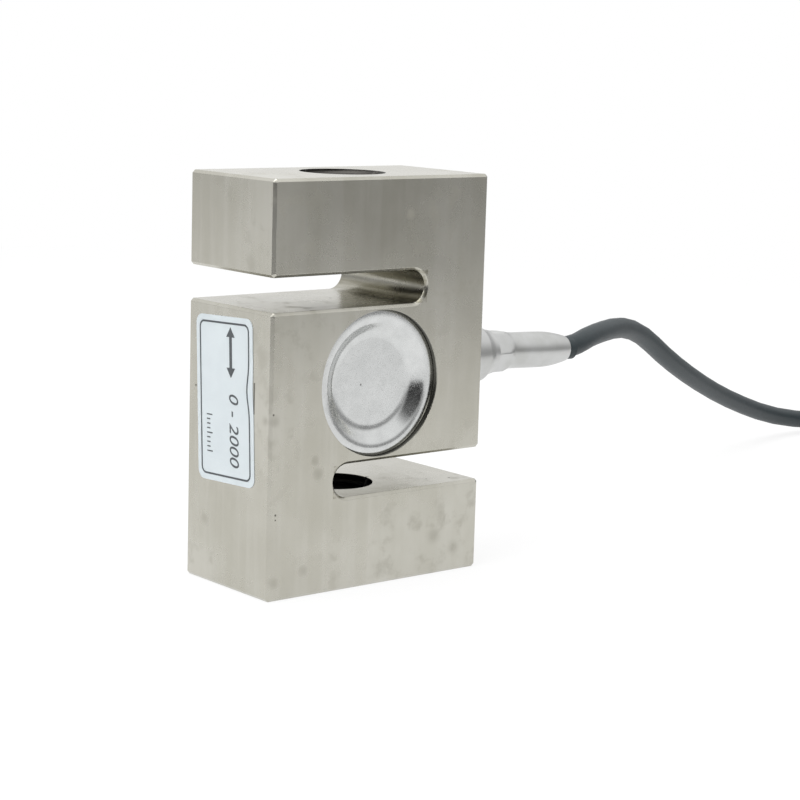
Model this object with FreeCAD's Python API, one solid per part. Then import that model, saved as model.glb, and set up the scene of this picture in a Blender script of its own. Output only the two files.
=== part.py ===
import FreeCAD, Part
import math
import os

from FreeCAD import Vector

# S-type load cell of the 2 t class.
# A one-piece steel S carries the load between two threaded holes. The thin
# web left between the two round pockets shears under load, and 45 degree foil
# gauges bonded to both sides of the web read it. Pressed covers close the
# pockets and a screened four-core cable leaves through a crimped gland.
#
# Frame, millimetres: origin where the load axis meets the base, +Z along the
# load axis, -Y the face with the front cover, +X the side with the gland.

# ---- S block -----------------------------------------------------------
BLOCK_WIDTH = 50.0
BLOCK_DEPTH = 26.0
BLOCK_HEIGHT = 76.0
ARM_HEIGHT = 17.4
SLOT_HEIGHT = 6.2
SLOT_REACH = 35.2            # open side face to the tip of the round end
EDGE_CHAMFER = 0.55

# ---- load threads, M16 x 1.5, as plain bores at their minor diameter -----
THREAD_BORE_DIA = 14.376
THREAD_MOUTH_DIA = 15.6      # 45 degree countersink at the outer faces

# ---- gauge pockets and covers --------------------------------------------
POCKET_DIA = 27.3
COVER_RECESS = 1.1           # face of the block to the cover's rim
GAUGE_BORE_DIA = 24.9        # below the shoulder that the cover sits on
WEB_THICKNESS = 5.0
COVER_SHEET = 0.5
COVER_DISH_DIA = 23.6        # outer edge of the dished wall
COVER_FLAT_DIA = 18.4
COVER_DISH_DEPTH = 1.8
COVER_BEND_RADIUS = 0.4

# ---- strain gauges and wiring on the web ---------------------------------
GAUGE_WIDTH = 11.0
GAUGE_HEIGHT = 8.0
BACKING_THICKNESS = 0.12
GRID_THICKNESS = 0.08
GRID_LINES = 7
GRID_LINE_LENGTH = 4.2
GRID_LINE_WIDTH = 0.28
GRID_PITCH = 0.5
GRID_OFFSET = 2.7            # centre of each 45 degree grid from the middle
COATING_DIA = 13.8
COATING_THICKNESS = 0.9
STRIP_LENGTH = 12.0
STRIP_HEIGHT = 3.6
STRIP_THICKNESS = 0.8
STRIP_DROP = 8.9             # strip centre below the pocket centre
PAD_COUNT = 4
PAD_PITCH = 2.6
PAD_DIA = 2.0
PAD_TOP_DIA = 1.5
PAD_HEIGHT = 0.5
PAD_SHARE = 0.5              # cores sit this far above and link wires below a pad's middle
RESISTOR_DIA = 1.7
RESISTOR_LENGTH = 4.6
RESISTOR_RISE = 9.2          # resistor axis above the pocket centre
RESISTOR_SPACING = 7.0
CORE_DIA = 0.7
CORE_SPACING = 1.25
CORE_COVER_GAP = 0.25        # highest core to the inside of the cover
CORE_LINK_GAP = 0.2          # lowest core to the link wires' run across the strip
LINK_HOLE_DIA = 2.8
LINK_HOLE_X = 7.6
LINK_HOLE_DROP = 5.6
LINK_WIRE_DIA = 0.4
LINK_WIRE_SPACING = 1.2
LINK_WIRE_ARCH = 0.8         # solder to the wire's run across the strip

# ---- cable gland ----------------------------------------------------------
GLAND_HEIGHT = 39.5          # axis above the base
GLAND_BORE_DIA = 7.0         # hole in the block, M8 x 1 minor diameter
GLAND_HOLE_DEPTH = 11.0
GLAND_SPIGOT_DIA = 6.9
GLAND_SPIGOT_LENGTH = 7.5
GASKET_THICKNESS = 0.8
GASKET_DIA = 11.4
FLANGE_DIA = 12.4
FLANGE_LENGTH = 2.4
COLLAR_DIA = 11.6
COLLAR_END = 11.0            # distances from the side face of the block
FLARE_END = 13.5             # the collar narrows to the hexagon in a hollow curve
FLARE_PROFILE = ((0.10, 0.32), (0.26, 0.58), (0.50, 0.80))  # shares of length and of drop
HEX_END = 17.6
HEX_ACROSS_FLATS = 8.2
HEX_TAPER_DIA = 7.7          # hex corners are turned down to this at the end
HEX_TAPER_SLOPE = 1.6        # length of that taper for each millimetre of radius
SLEEVE_DIA = 7.3
SLEEVE_LENGTH = 20.4         # from its bend to the crimped mouth
SLEEVE_BEND = 15.5           # where the sleeve starts to droop
SLEEVE_DROOP = 2.5           # degrees
CRIMP_LENGTH = 3.6
MOUTH_DIA = 5.1
CRIMP_PROFILE = ((0.25, 0.10), (0.50, 0.35), (0.75, 0.78))  # shares of length and of neck
GLAND_CABLE_CLEARANCE = 0.05
PASSAGE_DIA = 3.4            # drilled at an angle from the gland to the pocket
PASSAGE_ANGLE = 42.0

# ---- rating label on the -X side ------------------------------------------
LABEL_WIDTH = 17.6
LABEL_HEIGHT = 30.6
LABEL_THICKNESS = 0.15
LABEL_CORNER = 1.8
LABEL_SHIFT = 0.9            # towards +Y from the middle of the side
LABEL_TOP = 50.3             # above the base
LABEL_TILT = 2.8             # degrees, stuck on slightly crooked

# ---- cable ------------------------------------------------------------------
CABLE_DIA = 4.5
LEAD_START_RUN = 9.5
LEAD_CREST = Vector(86.2, 7.6, 42.8)
LEAD_FALL = Vector(118.4, 19.3, 24.2)
LEAD_LOW = Vector(160.5, 35.7, 10.2)
LEAD_LANDING_X = 203.5
LEAD_LANDING_Y = 50.4
LEAD_APPROACH = 12.5         # last run before the coil
ARC_SHARE = 0.45             # share of the shorter run that each arc takes
COIL_X = 258.0
COIL_Y = 8.0
COIL_MEAN_DIA = 54.0
COIL_LAYERS = 4              # turns side by side and turns stacked
COIL_STUB = 19.0              # straight run before the first turn and after the last
COIL_CORNER = 2.0
TAIL_STEP = 22.0             # the tail leaves the top turn, drops and runs on, in equal steps
TAIL_RISE = 0.65             # the heat-shrink lifts the tail's end off the surface
TIE_WIDTH = 2.6
TIE_THICKNESS = 1.0
TIE_HEAD = 4.2
TIE_HEAD_HEIGHT = 2.9
TIE_ANGLES = (20, 200)       # degrees round the coil from +X

# ---- free end: heat-shrink, four cores and the drain wire --------------------
SHRINK_DIA = 5.8
SHRINK_LENGTH = 18.0
SHRINK_OVERLAP = 11.5
END_CORE_DIA = 1.2
END_CORE_SPACING = 1.2       # between neighbours where they leave the shrink
END_CORE_RISE = 0.7          # above and below the shrink's axis there
END_CORE_RUN = 4.1           # straight out of the shrink
END_CORE_KNEE = 11.9         # where they reach the surface, from the shrink
END_CORE_REACH = 34.0
END_KNEE_FAN = 1.25          # sideways spread between neighbours at the knee
END_FAN = 5.0                # and at their tips
TIP_DIA = 0.7
TIP_LENGTH = 6.0
DRAIN_DIA = 0.9

# ---- worked out from the above ------------------------------------------------
HALF_WIDTH = BLOCK_WIDTH / 2
HALF_DEPTH = BLOCK_DEPTH / 2
POCKET_Z = BLOCK_HEIGHT / 2
SLOT_RADIUS = SLOT_HEIGHT / 2
WEB_FACE = WEB_THICKNESS / 2
COVER_INSIDE = HALF_DEPTH - COVER_RECESS - COVER_DISH_DEPTH - COVER_SHEET
SOLDER_TOP = WEB_FACE + STRIP_THICKNESS + PAD_HEIGHT
LINK_LEVEL = SOLDER_TOP + LINK_WIRE_ARCH
CORE_HIGHEST = COVER_INSIDE - CORE_COVER_GAP - CORE_DIA / 2
CORE_LOWEST = LINK_LEVEL + LINK_WIRE_DIA / 2 + CORE_LINK_GAP + CORE_DIA / 2
LOWER_SLOT_Z = ARM_HEIGHT + SLOT_RADIUS
UPPER_SLOT_Z = BLOCK_HEIGHT - ARM_HEIGHT - SLOT_RADIUS
GLAND_FACE = Vector(HALF_WIDTH, 0, GLAND_HEIGHT)
GLAND_CABLE_BORE = CABLE_DIA + 2 * GLAND_CABLE_CLEARANCE
DROOP = math.radians(SLEEVE_DROOP)
SLEEVE_AXIS = Vector(math.cos(DROOP), 0, -math.sin(DROOP))
SLEEVE_PIVOT = GLAND_FACE + Vector(SLEEVE_BEND, 0, 0)
GLAND_MOUTH = SLEEVE_PIVOT + SLEEVE_AXIS * SLEEVE_LENGTH
JACKET_START_X = HALF_WIDTH - GLAND_SPIGOT_LENGTH
COIL_MEAN_RADIUS = COIL_MEAN_DIA / 2
COIL_BAND = COIL_LAYERS * CABLE_DIA
COIL_OUTER_TURN = COIL_MEAN_RADIUS + (COIL_BAND - CABLE_DIA) / 2
CABLE_REST_Z = CABLE_DIA / 2

X_AXIS = Vector(1, 0, 0)
Y_AXIS = Vector(0, 1, 0)
Z_AXIS = Vector(0, 0, 1)


def cylinder(radius, length, base, axis):
    return Part.makeCylinder(radius, length, base, axis)


def box(low, high):
    size = high - low
    return Part.makeBox(size.x, size.y, size.z, low)


def fuse(first, others):
    return first.multiFuse(others).removeSplitter()


def export(node, shape):
    solids = shape.Solids
    if len(solids) != 1 or not solids[0].isValid():
        raise ValueError(f"{node} is not one valid solid")
    solids[0].exportStep(f"parts/{node}.step")


# ---- S block ------------------------------------------------------------------
def arc_through(centre, radius, start_deg, end_deg):
    """Arc in the XZ plane from one angle to another, in degrees from +X."""
    points = []
    for degrees in (start_deg, (start_deg + end_deg) / 2, end_deg):
        angle = math.radians(degrees)
        offset = Vector(math.cos(angle), 0, math.sin(angle)) * radius
        points.append(centre + offset)
    return Part.Arc(*points).toShape()


def corner_points(corner, before, after):
    """The two ends of the chamfer at a corner of the outline."""
    toward_before = (before - corner).normalize() * EDGE_CHAMFER
    toward_after = (after - corner).normalize() * EDGE_CHAMFER
    return [corner + toward_before, corner + toward_after]


def chamfered_path(points):
    """Points of a path with each inner corner cut; the ends stay as they are."""
    path = [points[0]]
    for before, corner, after in zip(points, points[1:], points[2:]):
        path += corner_points(corner, before, after)
    path.append(points[-1])
    return path


def segments(path):
    return [Part.LineSegment(a, b).toShape() for a, b in zip(path, path[1:])]


def s_outline(y):
    """Closed S outline in the plane of this y, corners already chamfered."""
    lower_centre = Vector(SLOT_RADIUS + HALF_WIDTH - SLOT_REACH, y, LOWER_SLOT_Z)
    upper_centre = Vector(SLOT_REACH - SLOT_RADIUS - HALF_WIDTH, y, UPPER_SLOT_Z)
    down = Vector(0, 0, -SLOT_RADIUS)
    left, right = -HALF_WIDTH, HALF_WIDTH
    outer_left = chamfered_path([
        upper_centre + down,
        Vector(left, y, UPPER_SLOT_Z - SLOT_RADIUS),
        Vector(left, y, 0),
        Vector(right, y, 0),
        Vector(right, y, ARM_HEIGHT),
        lower_centre + down,
    ])
    outer_right = chamfered_path([
        lower_centre - down,
        Vector(right, y, LOWER_SLOT_Z + SLOT_RADIUS),
        Vector(right, y, BLOCK_HEIGHT),
        Vector(left, y, BLOCK_HEIGHT),
        Vector(left, y, BLOCK_HEIGHT - ARM_HEIGHT),
        upper_centre - down,
    ])
    edges = segments(outer_left)
    edges.append(arc_through(lower_centre, SLOT_RADIUS, 270, 90))
    edges += segments(outer_right)
    edges.append(arc_through(upper_centre, SLOT_RADIUS, 90, -90))
    return Part.Wire(Part.__sortEdges__(edges))


def s_blank():
    face = Part.Face(s_outline(-HALF_DEPTH))
    blank = face.extrude(Y_AXIS * BLOCK_DEPTH)
    rim = [e for e in blank.Edges
           if abs(abs(e.CenterOfMass.y) - HALF_DEPTH) < EDGE_CHAMFER / 10]
    return blank.makeChamfer(EDGE_CHAMFER, rim)


def load_thread_cut(face_z, inward):
    """Bore and countersink of one load hole, from its outer face inward."""
    face_point = Vector(0, 0, face_z)
    bore = cylinder(THREAD_BORE_DIA / 2, ARM_HEIGHT + SLOT_RADIUS, face_point, Z_AXIS * inward)
    sink_depth = (THREAD_MOUTH_DIA - THREAD_BORE_DIA) / 2
    sink = Part.makeCone(THREAD_MOUTH_DIA / 2, THREAD_BORE_DIA / 2, sink_depth,
                         face_point, Z_AXIS * inward)
    return bore.fuse(sink)


def pocket_cut(side):
    """Stepped pocket; side is -1 for the front and +1 for the rear."""
    mouth = Vector(0, side * HALF_DEPTH, POCKET_Z)
    cover_seat = cylinder(POCKET_DIA / 2, COVER_RECESS + COVER_SHEET, mouth, Y_AXIS * -side)
    gauge_bore = cylinder(GAUGE_BORE_DIA / 2, HALF_DEPTH - WEB_FACE, mouth, Y_AXIS * -side)
    return cover_seat.fuse(gauge_bore)


def passage_axis():
    angle = math.radians(PASSAGE_ANGLE)
    return Vector(-math.cos(angle), -math.sin(angle), 0)


def passage_start():
    return GLAND_FACE - X_AXIS * (GLAND_HOLE_DEPTH - PASSAGE_DIA / 2)


def passage_length():
    """From the gland hole until the drill has come right through the pocket's wall."""
    to_wall = passage_start().x - GAUGE_BORE_DIA / 2
    return to_wall / math.cos(math.radians(PASSAGE_ANGLE)) + PASSAGE_DIA


def wiring_cuts():
    gland_hole = cylinder(GLAND_BORE_DIA / 2, GLAND_HOLE_DEPTH, GLAND_FACE, X_AXIS * -1)
    passage = cylinder(PASSAGE_DIA / 2, passage_length(), passage_start(), passage_axis())
    link_base = Vector(LINK_HOLE_X, -WEB_THICKNESS, POCKET_Z - LINK_HOLE_DROP)
    link = cylinder(LINK_HOLE_DIA / 2, 2 * WEB_THICKNESS, link_base, Y_AXIS)
    return [gland_hole, passage, link]


def spring_element():
    cuts = [load_thread_cut(0, 1), load_thread_cut(BLOCK_HEIGHT, -1)]
    cuts += [pocket_cut(-1), pocket_cut(1)]
    cuts += wiring_cuts()
    block = s_blank()
    for cut in cuts:
        block = block.cut(cut)
    return block


# ---- covers ---------------------------------------------------------------------
def cover(side):
    """Pressed dish: flat rim, sloping wall, flat middle, one sheet thick."""
    rim = POCKET_DIA / 2
    top_of_wall = COVER_DISH_DIA / 2
    foot_of_wall = COVER_FLAT_DIA / 2
    wall_angle = math.atan2(COVER_DISH_DEPTH, top_of_wall - foot_of_wall)
    mitre = COVER_SHEET * math.tan(wall_angle / 2)
    profile = [
        Vector(0, COVER_DISH_DEPTH, 0),
        Vector(foot_of_wall, COVER_DISH_DEPTH, 0),
        Vector(top_of_wall, 0, 0),
        Vector(rim, 0, 0),
        Vector(rim, COVER_SHEET, 0),
        Vector(top_of_wall + mitre, COVER_SHEET, 0),
        Vector(foot_of_wall + mitre, COVER_DISH_DEPTH + COVER_SHEET, 0),
        Vector(0, COVER_DISH_DEPTH + COVER_SHEET, 0),
    ]
    wire = Part.makePolygon(profile + profile[:1])
    dish = Part.Face(wire).revolve(Vector(), Y_AXIS, 360)
    bends = [e for e in dish.Edges if is_cover_bend(e)]
    dish = dish.makeFillet(COVER_BEND_RADIUS, bends)
    if side > 0:
        dish = dish.mirror(Vector(), Y_AXIS)
    rim_face = side * (HALF_DEPTH - COVER_RECESS)
    dish.translate(Vector(0, rim_face, POCKET_Z))
    return dish


def is_cover_bend(edge):
    """True for the circles where the dish's wall meets its rim and its flat."""
    if not isinstance(edge.Curve, Part.Circle):
        return False
    return edge.Curve.Radius < (COVER_DISH_DIA / 2 + POCKET_DIA / 2) / 2


# ---- gauges and wiring ---------------------------------------------------------
def on_web(shape, side):
    """Move a shape drawn on the XZ plane, standing along +Y, to a web face."""
    if side < 0:
        shape = shape.mirror(Vector(), Y_AXIS)
    shape.translate(Vector(0, side * WEB_FACE, POCKET_Z))
    return shape


def gauge_backing(side):
    low = Vector(-GAUGE_WIDTH / 2, 0, -GAUGE_HEIGHT / 2)
    high = Vector(GAUGE_WIDTH / 2, BACKING_THICKNESS, GAUGE_HEIGHT / 2)
    return on_web(box(low, high), side)


def grid_meander(angle_deg, centre_x):
    """One grid: parallel lines joined end to end in turn."""
    strips = []
    half = GRID_LINE_LENGTH / 2
    for i in range(GRID_LINES):
        z = (i - (GRID_LINES - 1) / 2) * GRID_PITCH
        low = Vector(-half, 0, z - GRID_LINE_WIDTH / 2)
        high = Vector(half, GRID_THICKNESS, z + GRID_LINE_WIDTH / 2)
        strips.append(box(low, high))
        if i < GRID_LINES - 1:
            end = half if i % 2 else -half
            low = Vector(end - GRID_LINE_WIDTH / 2, 0, z - GRID_LINE_WIDTH / 2)
            high = Vector(end + GRID_LINE_WIDTH / 2, GRID_THICKNESS,
                          z + GRID_PITCH + GRID_LINE_WIDTH / 2)
            strips.append(box(low, high))
    grid = fuse(strips[0], strips[1:])
    grid.rotate(Vector(), Y_AXIS, angle_deg)
    grid.translate(Vector(centre_x, BACKING_THICKNESS, 0))
    return grid


def gauge_grid(side, hand):
    """Foil grid at 45 degrees; hand is -1 for the -X grid and +1 for the +X."""
    return on_web(grid_meander(45 * hand, GRID_OFFSET * hand), side)


def gauge_coating(side, covered):
    """Silicone over the gauge, with the gauge's own shape left out of it."""
    disc = cylinder(COATING_DIA / 2, COATING_THICKNESS, Vector(), Y_AXIS)
    outer = [e for e in disc.Edges if e.CenterOfMass.y > COATING_THICKNESS / 2]
    disc = disc.makeFillet(COATING_THICKNESS / 2, [e for e in outer if is_circle(e)])
    coating = on_web(disc, side)
    for piece in covered:
        coating = coating.cut(piece)
    return coating


def is_circle(edge):
    return isinstance(edge.Curve, Part.Circle)


def terminal_strip(side):
    centre = Vector(0, 0, -STRIP_DROP)
    half = Vector(STRIP_LENGTH / 2, 0, STRIP_HEIGHT / 2)
    board = box(centre - half, centre + half + Y_AXIS * STRIP_THICKNESS)
    return on_web(board, side)


def pad_offset(i):
    return Vector((i - (PAD_COUNT - 1) / 2) * PAD_PITCH, 0, -STRIP_DROP)


def terminal_solder(side, i):
    base = pad_offset(i) + Y_AXIS * STRIP_THICKNESS
    pad = Part.makeCone(PAD_DIA / 2, PAD_TOP_DIA / 2, PAD_HEIGHT, base, Y_AXIS)
    return on_web(pad, side)


def resistor(index):
    """Trim resistor lying on the front web face, above the gauge."""
    x = (index - 0.5) * RESISTOR_SPACING - RESISTOR_LENGTH / 2
    base = Vector(x, RESISTOR_DIA / 2, RESISTOR_RISE)
    body = cylinder(RESISTOR_DIA / 2, RESISTOR_LENGTH, base, X_AXIS)
    return on_web(body, -1)


# ---- round wires: straight runs joined by tangent arcs -----------------------------
def bend_radius(before, corner, after):
    arm_in = before - corner
    arm_out = after - corner
    turn = math.pi - arm_in.getAngle(arm_out)
    shorter = min(arm_in.Length, arm_out.Length)
    return ARC_SHARE * shorter / math.tan(turn / 2)


def rounded_route(points):
    """Edges of the route, with a tangent arc at every inner point."""
    edges = []
    here = points[0]
    for before, corner, after in zip(points, points[1:], points[2:]):
        share = ARC_SHARE * min((before - corner).Length, (after - corner).Length)
        to_before = (before - corner).normalize()
        to_after = (after - corner).normalize()
        start = corner + to_before * share
        end = corner + to_after * share
        radius = bend_radius(before, corner, after)
        middle_dir = (to_before + to_after).normalize()
        to_centre = math.hypot(share, radius)
        middle = corner + middle_dir * (to_centre - radius)
        edges.append(Part.LineSegment(here, start).toShape())
        edges.append(Part.Arc(start, middle, end).toShape())
        here = end
    edges.append(Part.LineSegment(here, points[-1]).toShape())
    return edges


def round_sweep(points, diameter):
    edges = rounded_route(points)
    path = Part.Wire(edges)
    start_dir = (points[1] - points[0]).normalize()
    ring = Part.Wire(Part.makeCircle(diameter / 2, points[0], start_dir))
    return path.makePipeShell([ring], True, True)


def route_length(points):
    return sum(edge.Length for edge in rounded_route(points))


def core_in_cell(i):
    """One core from the end of the jacket to its pad on the front strip."""
    across = CORE_SPACING / 2 * (1 if i % 2 else -1)
    up = CORE_SPACING / 2 * (1 if i < 2 else -1)
    level = CORE_HIGHEST - i * (CORE_HIGHEST - CORE_LOWEST) / (PAD_COUNT - 1)
    along = passage_axis()
    jacket_end = Vector(JACKET_START_X, -across, GLAND_HEIGHT + up)
    turn_in = Vector(passage_start().x, -across, GLAND_HEIGHT + up)
    turn_out = turn_in + along * ((level + turn_in.y) / -along.y)
    pad = pad_offset(i)
    pad_z = POCKET_Z + pad.z + PAD_SHARE
    over_pad = Vector(pad.x, -level, pad_z)
    on_pad = Vector(pad.x, -SOLDER_TOP, pad_z)
    return round_sweep([jacket_end, turn_in, turn_out, over_pad, on_pad], CORE_DIA)


def link_wire(index):
    """Wire joining the front and rear strips through the hole in the web."""
    shift = (index - 0.5) * LINK_WIRE_SPACING
    hole = Vector(LINK_HOLE_X, 0, POCKET_Z - LINK_HOLE_DROP + shift)
    pad = pad_offset(PAD_COUNT - 1 - index)
    points = []
    for side in (-1, 1):
        pad_z = POCKET_Z + pad.z - PAD_SHARE
        on_pad = Vector(pad.x, side * SOLDER_TOP, pad_z)
        over_pad = Vector(pad.x, side * LINK_LEVEL, pad_z)
        over_hole = hole + Vector(0, side * LINK_LEVEL, 0)
        leg = [on_pad, over_pad, over_hole]
        points += leg if side < 0 else leg[::-1]
    return round_sweep(points, LINK_WIRE_DIA)


# ---- gland -----------------------------------------------------------------------
def turned(sections, base, axis):
    """Solid of revolution from (distance, radius) pairs along an axis."""
    outline = [Vector(sections[0][0], 0, 0)]
    outline += [Vector(distance, 0, radius) for distance, radius in sections]
    outline.append(Vector(sections[-1][0], 0, 0))
    solid = Part.Face(Part.makePolygon(outline + outline[:1])).revolve(Vector(), X_AXIS, 360)
    solid.Placement = FreeCAD.Placement(base, FreeCAD.Rotation(X_AXIS, axis))
    return solid


def gland_hex():
    """Hex with flats up and down, its outer corners turned to a cone."""
    corner_radius = HEX_ACROSS_FLATS / 2 / math.cos(math.radians(30))
    corners = []
    for i in range(6):
        angle = math.radians(60 * i)
        offset = Vector(0, math.cos(angle), math.sin(angle)) * corner_radius
        corners.append(GLAND_FACE + X_AXIS * COLLAR_END + offset)
    hexagon = Part.Face(Part.makePolygon(corners + corners[:1]))
    prism = hexagon.extrude(X_AXIS * (HEX_END - COLLAR_END))
    taper = turned([
        (COLLAR_END, corner_radius),
        (HEX_END - (corner_radius - HEX_TAPER_DIA / 2) * HEX_TAPER_SLOPE, corner_radius),
        (HEX_END, HEX_TAPER_DIA / 2),
    ], GLAND_FACE, X_AXIS)
    return prism.common(taper)


def gland_sleeve():
    """Thin tube crimped onto the cable, drooping a little from its bend."""
    crimp_start = SLEEVE_LENGTH - CRIMP_LENGTH
    neck = (SLEEVE_DIA - MOUTH_DIA) / 2
    sections = [(0, SLEEVE_DIA / 2), (crimp_start, SLEEVE_DIA / 2)]
    for along, narrowed in CRIMP_PROFILE:
        sections.append((crimp_start + CRIMP_LENGTH * along, SLEEVE_DIA / 2 - neck * narrowed))
    sections.append((SLEEVE_LENGTH, MOUTH_DIA / 2))
    return turned(sections, SLEEVE_PIVOT, SLEEVE_AXIS)


def gland_bore(diameter, start_x):
    """Straight bore up to the bend, a ball at the bend, then the drooping bore."""
    radius = diameter / 2
    start = Vector(start_x, 0, GLAND_HEIGHT)
    straight = cylinder(radius, SLEEVE_PIVOT.x - start_x, start, X_AXIS)
    ball = Part.makeSphere(radius, SLEEVE_PIVOT)
    drooping = cylinder(radius, SLEEVE_LENGTH, SLEEVE_PIVOT, SLEEVE_AXIS)
    return fuse(straight, [ball, drooping])


def gland_body():
    flange_start = GASKET_THICKNESS
    flange_end = flange_start + FLANGE_LENGTH
    sections = [
        (-GLAND_SPIGOT_LENGTH, GLAND_SPIGOT_DIA / 2),
        (flange_start, GLAND_SPIGOT_DIA / 2),
        (flange_start, FLANGE_DIA / 2),
        (flange_end, FLANGE_DIA / 2),
        (flange_end, COLLAR_DIA / 2),
        (COLLAR_END, COLLAR_DIA / 2),
    ]
    drop = (COLLAR_DIA - HEX_ACROSS_FLATS) / 2
    for along, narrowed in FLARE_PROFILE:
        distance = COLLAR_END + (FLARE_END - COLLAR_END) * along
        sections.append((distance, COLLAR_DIA / 2 - drop * narrowed))
    sections.append((FLARE_END, HEX_ACROSS_FLATS / 2))
    body = fuse(turned(sections, GLAND_FACE, X_AXIS), [gland_hex(), gland_sleeve()])
    return body.cut(gland_bore(GLAND_CABLE_BORE, JACKET_START_X))


def gland_gasket():
    outer = cylinder(GASKET_DIA / 2, GASKET_THICKNESS, GLAND_FACE, X_AXIS)
    inner = cylinder(GLAND_BORE_DIA / 2, GASKET_THICKNESS, GLAND_FACE, X_AXIS)
    return outer.cut(inner)


def cable_entry():
    """The cable's jacket inside the gland, up to its crimped mouth."""
    return gland_bore(CABLE_DIA, JACKET_START_X)


# ---- label -----------------------------------------------------------------------
def rating_label():
    middle = Vector(-HALF_WIDTH, LABEL_SHIFT, LABEL_TOP - LABEL_HEIGHT / 2)
    half = Vector(0, LABEL_WIDTH / 2, LABEL_HEIGHT / 2)
    plate = box(middle - half - X_AXIS * LABEL_THICKNESS, middle + half)
    corners = [e for e in plate.Edges if abs(e.Length - LABEL_THICKNESS) < LABEL_THICKNESS / 100]
    plate = plate.makeFillet(LABEL_CORNER, corners)
    plate.rotate(middle, X_AXIS, -LABEL_TILT)
    return plate


# ---- free cable --------------------------------------------------------------------
def coil_entry():
    """Where the lead meets the coil's stub, on the outer turn, lying flat."""
    return Vector(COIL_X - COIL_STUB, COIL_Y + COIL_OUTER_TURN, CABLE_REST_Z)


def lead_points():
    entry = coil_entry()
    return [
        GLAND_MOUTH,
        GLAND_MOUTH + SLEEVE_AXIS * LEAD_START_RUN,
        LEAD_CREST,
        LEAD_FALL,
        LEAD_LOW,
        Vector(LEAD_LANDING_X, LEAD_LANDING_Y, CABLE_REST_Z),
        entry - X_AXIS * LEAD_APPROACH,
        entry,
    ]


def cable_lead():
    points = lead_points()
    lead = round_sweep(points, CABLE_DIA)
    for before, corner, after in zip(points, points[1:], points[2:]):
        print("bend radius", round(bend_radius(before, corner, after), 1))
    section = math.pi * CABLE_DIA ** 2 / 4
    print("lead length", round(route_length(points), 1),
          "volume / (section x length)", round(lead.Volume / (section * route_length(points)), 4))
    return lead


def tie_frame(angle_deg, grow):
    """Band round the coil's section at one angle, as an outer block."""
    half = COIL_BAND / 2 + grow
    low = Vector(COIL_MEAN_RADIUS - half, -TIE_WIDTH / 2, TIE_THICKNESS - grow)
    high = Vector(COIL_MEAN_RADIUS + half, TIE_WIDTH / 2, COIL_BAND + grow)
    block = box(low, high)
    block.rotate(Vector(), Z_AXIS, angle_deg)
    block.translate(Vector(COIL_X, COIL_Y, 0))
    return block


def coil_tie(angle_deg):
    band = tie_frame(angle_deg, TIE_THICKNESS).cut(tie_frame(angle_deg, 0))
    head_low = Vector(COIL_MEAN_RADIUS - TIE_HEAD / 2, -TIE_HEAD / 2, COIL_BAND + TIE_THICKNESS)
    head_high = head_low + Vector(TIE_HEAD, TIE_HEAD, TIE_HEAD_HEIGHT)
    head = box(head_low, head_high)
    head.rotate(Vector(), Z_AXIS, angle_deg)
    head.translate(Vector(COIL_X, COIL_Y, 0))
    return band.fuse(head).removeSplitter()


def coil_ring():
    half = COIL_BAND / 2
    low = Vector(COIL_MEAN_RADIUS - half, 0, 0)
    high = Vector(COIL_MEAN_RADIUS + half, 0, COIL_BAND)
    corners = [low, Vector(high.x, 0, low.z), high, Vector(low.x, 0, high.z)]
    section = Part.Face(Part.makePolygon(corners + corners[:1]))
    ring = section.revolve(Vector(), Z_AXIS, 360)
    ring = ring.makeFillet(COIL_CORNER, [e for e in ring.Edges if is_circle(e)])
    ring.translate(Vector(COIL_X, COIL_Y, 0))
    return ring


def tail_points():
    """From the last turn, outermost and on top, down to the surface."""
    start = Vector(COIL_X, COIL_Y - COIL_OUTER_TURN, COIL_BAND - CABLE_REST_Z)
    step = Vector(-TAIL_STEP, 0, 0)
    over = start + step
    down = Vector(over.x - TAIL_STEP, start.y, CABLE_REST_Z + TAIL_RISE)
    return [start, over, down, down + step]


def cable_coil():
    """Outer shape of the wound cable, with a stub at each end of the winding."""
    entry_stub = cylinder(CABLE_DIA / 2, COIL_STUB, coil_entry(), X_AXIS)
    tail = round_sweep(tail_points(), CABLE_DIA)
    coil = fuse(coil_ring(), [entry_stub, tail])
    for angle in TIE_ANGLES:
        waist = tie_frame(angle, TIE_THICKNESS).cut(tie_frame(angle, 0))
        coil = coil.cut(waist)
    return coil


# ---- free end -------------------------------------------------------------------------
def tail_end():
    return tail_points()[-1]


def end_shrink():
    """Heat-shrink sleeve over the end of the jacket and the start of the cores."""
    start = tail_end() + X_AXIS * SHRINK_OVERLAP
    sleeve = cylinder(SHRINK_DIA / 2, SHRINK_LENGTH, start, X_AXIS * -1)
    return sleeve.cut(cylinder(CABLE_DIA / 2, SHRINK_OVERLAP, start, X_AXIS * -1))


def end_core_points(i):
    """Core i of five, from the shrink's end, fanned out and lying flat."""
    face_x = tail_end().x + SHRINK_OVERLAP - SHRINK_LENGTH
    across = i - 2
    height = tail_end().z + (END_CORE_RISE if i % 2 else -END_CORE_RISE)
    start = Vector(face_x, tail_end().y + across * END_CORE_SPACING, height)
    rest_z = END_CORE_DIA / 2
    knee = Vector(face_x - END_CORE_KNEE, start.y + across * END_KNEE_FAN, rest_z)
    tip = Vector(face_x - END_CORE_REACH, start.y + across * END_FAN, rest_z)
    return [start, start - X_AXIS * END_CORE_RUN, knee, tip]


def end_core(i):
    return round_sweep(end_core_points(i), END_CORE_DIA)


def end_drain():
    return round_sweep(end_core_points(2), DRAIN_DIA)


def end_tip(i):
    points = end_core_points(i)
    along = (points[-1] - points[-2]).normalize()
    return cylinder(TIP_DIA / 2, TIP_LENGTH, points[-1], along)


# ---- build ------------------------------------------------------------------------------
os.makedirs("parts", exist_ok=True)

export("spring_element", spring_element())

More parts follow.
